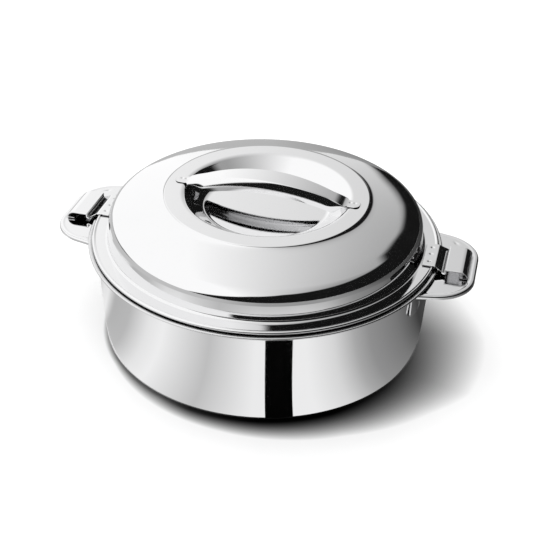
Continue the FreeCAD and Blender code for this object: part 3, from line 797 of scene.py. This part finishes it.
# brightness of the floor card near the pot and far off, by turn from the camera's side: left is negative
CARD_NEAR = [(-180, 0.35), (-125, 0.3), (-98, 0.85), (-92, 0.9), (-84, 0.5), (-70, 0.55), (-57, 0.9),
             (-48, 1.0), (-24, 0.6), (-3, 0.97), (20, 0.98), (33, 0.78), (44, 0.45), (52, 0.32), (70, 0.21),
             (88, 0.05), (130, 0.1), (165, 0.3), (180, 0.35)]
CARD_FAR = [(-180, 0.5), (-150, 0.6), (-60, 0.6), (-30, 0.55), (0, 0.36), (40, 0.33), (80, 0.1),
            (150, 0.03), (180, 0.5)]
NEAR_END = 0.225
FAR_START = 0.3
CARD_STEPS = 96


def add_floor_card():
    material, tree, glow = emission_material("card_ring")
    share, radius, _ = turn_about_pot(tree)
    away = node(tree, "ShaderNodeMapRange", {"Value": radius, "From Min": NEAR_END, "From Max": FAR_START})
    near, far = by_turn(tree, share, CARD_NEAR), by_turn(tree, share, CARD_FAR)
    level = node(tree, "ShaderNodeMix", {"Factor": away.outputs["Result"], "A": near, "B": far},
                 data_type="FLOAT")
    tree.links.new(level.outputs["Result"], glow.inputs["Strength"])
    turns = [2 * math.pi * i / CARD_STEPS for i in range(CARD_STEPS)]
    vertices = [(r * math.cos(turn), r * math.sin(turn), 0.4) for r in (110, FLOOR_SIDE) for turn in turns]
    following = [(i, (i + 1) % CARD_STEPS) for i in range(CARD_STEPS)]
    faces = [(i, j, CARD_STEPS + j, CARD_STEPS + i) for i, j in following]
    only_in_reflections(stage_object("card_ring", vertices, faces, material))


def add_black_flag():
    """The dark card before the pot that makes the black stripe on its wall."""
    material, _, glow = emission_material("black_flag")
    glow.inputs["Strength"].default_value = 0.001
    corners = [(3.3, -108), (20.9, -106.5), (57, -215), (5, -216)]
    c, s = math.cos(VIEW_TURN), math.sin(VIEW_TURN)
    vertices = [(x * c - y * s, x * s + y * c, 0.8) for x, y in corners]
    only_in_reflections(stage_object("black_flag", vertices, [(0, 1, 2, 3)], material))


# how high the softbox's lower edge stands, by turn from the camera's side
SKY_EDGE = [(-180, -20), (-160, -16), (-140, 0), (-110, 3), (-82, -3), (-60, -8), (-30, 18), (-10, 39),
            (17, 54), (48, 57), (77, 56), (104, 54), (142, 45), (146, 38), (149, 31), (152, 26), (156, 19),
            (164, 8), (170, -4), (176, -20)]
SKY_EDGE_LOW, SKY_EDGE_HIGH = -20, 70


def add_world():
    """White for the camera, an even fill for matt things, and a softbox sky for the mirror."""
    world = bpy.data.worlds.new("studio")
    bpy.context.scene.world = world
    world.use_nodes = True
    tree = world.node_tree
    tree.nodes.clear()
    direction = node(tree, "ShaderNodeTexCoord").outputs["Generated"]
    facing = node(tree, "ShaderNodeVectorRotate", {"Vector": direction, "Angle": -VIEW_TURN},
                  rotation_type="Z_AXIS")
    split = node(tree, "ShaderNodeSeparateXYZ", {0: facing.outputs[0]})
    x, y, z = split.outputs
    flat = node(tree, "ShaderNodeCombineXYZ", {0: x, 1: y}).outputs[0]
    length = node(tree, "ShaderNodeVectorMath", {0: flat}, operation="LENGTH").outputs["Value"]
    turn = math_node(tree, "ARCTAN2", x, math_node(tree, "MULTIPLY", y, -1.0))
    elevation = math_node(tree, "ARCTAN2", z, length)
    share = math_node(tree, "MULTIPLY_ADD", turn, 0.5 / math.pi)
    share.node.inputs[2].default_value = 0.5
    span = SKY_EDGE_HIGH - SKY_EDGE_LOW
    edge = by_turn(tree, share, [(angle, (height - SKY_EDGE_LOW) / span) for angle, height in SKY_EDGE])
    edge = node(tree, "ShaderNodeMapRange", {"Value": edge, "To Min": math.radians(SKY_EDGE_LOW),
                                             "To Max": math.radians(SKY_EDGE_HIGH)})
    above = math_node(tree, "SUBTRACT", elevation, edge.outputs["Result"])
    lit = node(tree, "ShaderNodeMapRange", {"Value": above, "From Min": math.radians(-2.5),
                                            "From Max": math.radians(3)}, interpolation_type="SMOOTHSTEP")
    level = math_node(tree, "SUBTRACT", 0.92, math_node(tree, "MULTIPLY", x, 0.95))
    level = math_node(tree, "SUBTRACT", level, math_node(tree, "MULTIPLY", z, 0.1))
    level = node(tree, "ShaderNodeClamp", {"Value": level, "Min": 0.38, "Max": 1.12}).outputs[0]
    sky = math_node(tree, "MULTIPLY", lit.outputs["Result"], level)
    sky = math_node(tree, "MAXIMUM", sky, 0.008)
    rays = node(tree, "ShaderNodeLightPath")
    fill = node(tree, "ShaderNodeMix", {"Factor": rays.outputs["Is Glossy Ray"], "A": 1.3, "B": sky},
                data_type="FLOAT").outputs["Result"]
    strength = node(tree, "ShaderNodeMix", {"Factor": rays.outputs["Is Camera Ray"], "A": fill, "B": 1.0},
                    data_type="FLOAT").outputs["Result"]
    background = node(tree, "ShaderNodeBackground", {"Color": (1, 1, 1, 1), "Strength": strength})
    output = node(tree, "ShaderNodeOutputWorld")
    tree.links.new(background.outputs[0], output.inputs[0])


def add_softbox():
    """One large soft lamp, high on the left and behind, so that the shadow falls to the right."""
    data = bpy.data.lights.new("softbox", "AREA")
    data.shape = "RECTANGLE"
    data.size = 0.9
    data.size_y = 0.9
    data.energy = 2
    lamp = bpy.data.objects.new("softbox", data)
    place = Vector((-0.6, 0.3, 0.98))
    place.rotate(Matrix.Rotation(VIEW_TURN, 3, "Z"))
    lamp.location = place
    lamp.rotation_euler = (Vector((0, 0, 0)) - place).to_track_quat("-Z", "Y").to_euler()
    lamp.visible_glossy = False
    bpy.context.scene.collection.objects.link(lamp)


add_camera()
add_floor()
add_floor_card()
add_black_flag()
add_world()
add_softbox()
bpy.context.scene.view_settings.view_transform = "Standard"
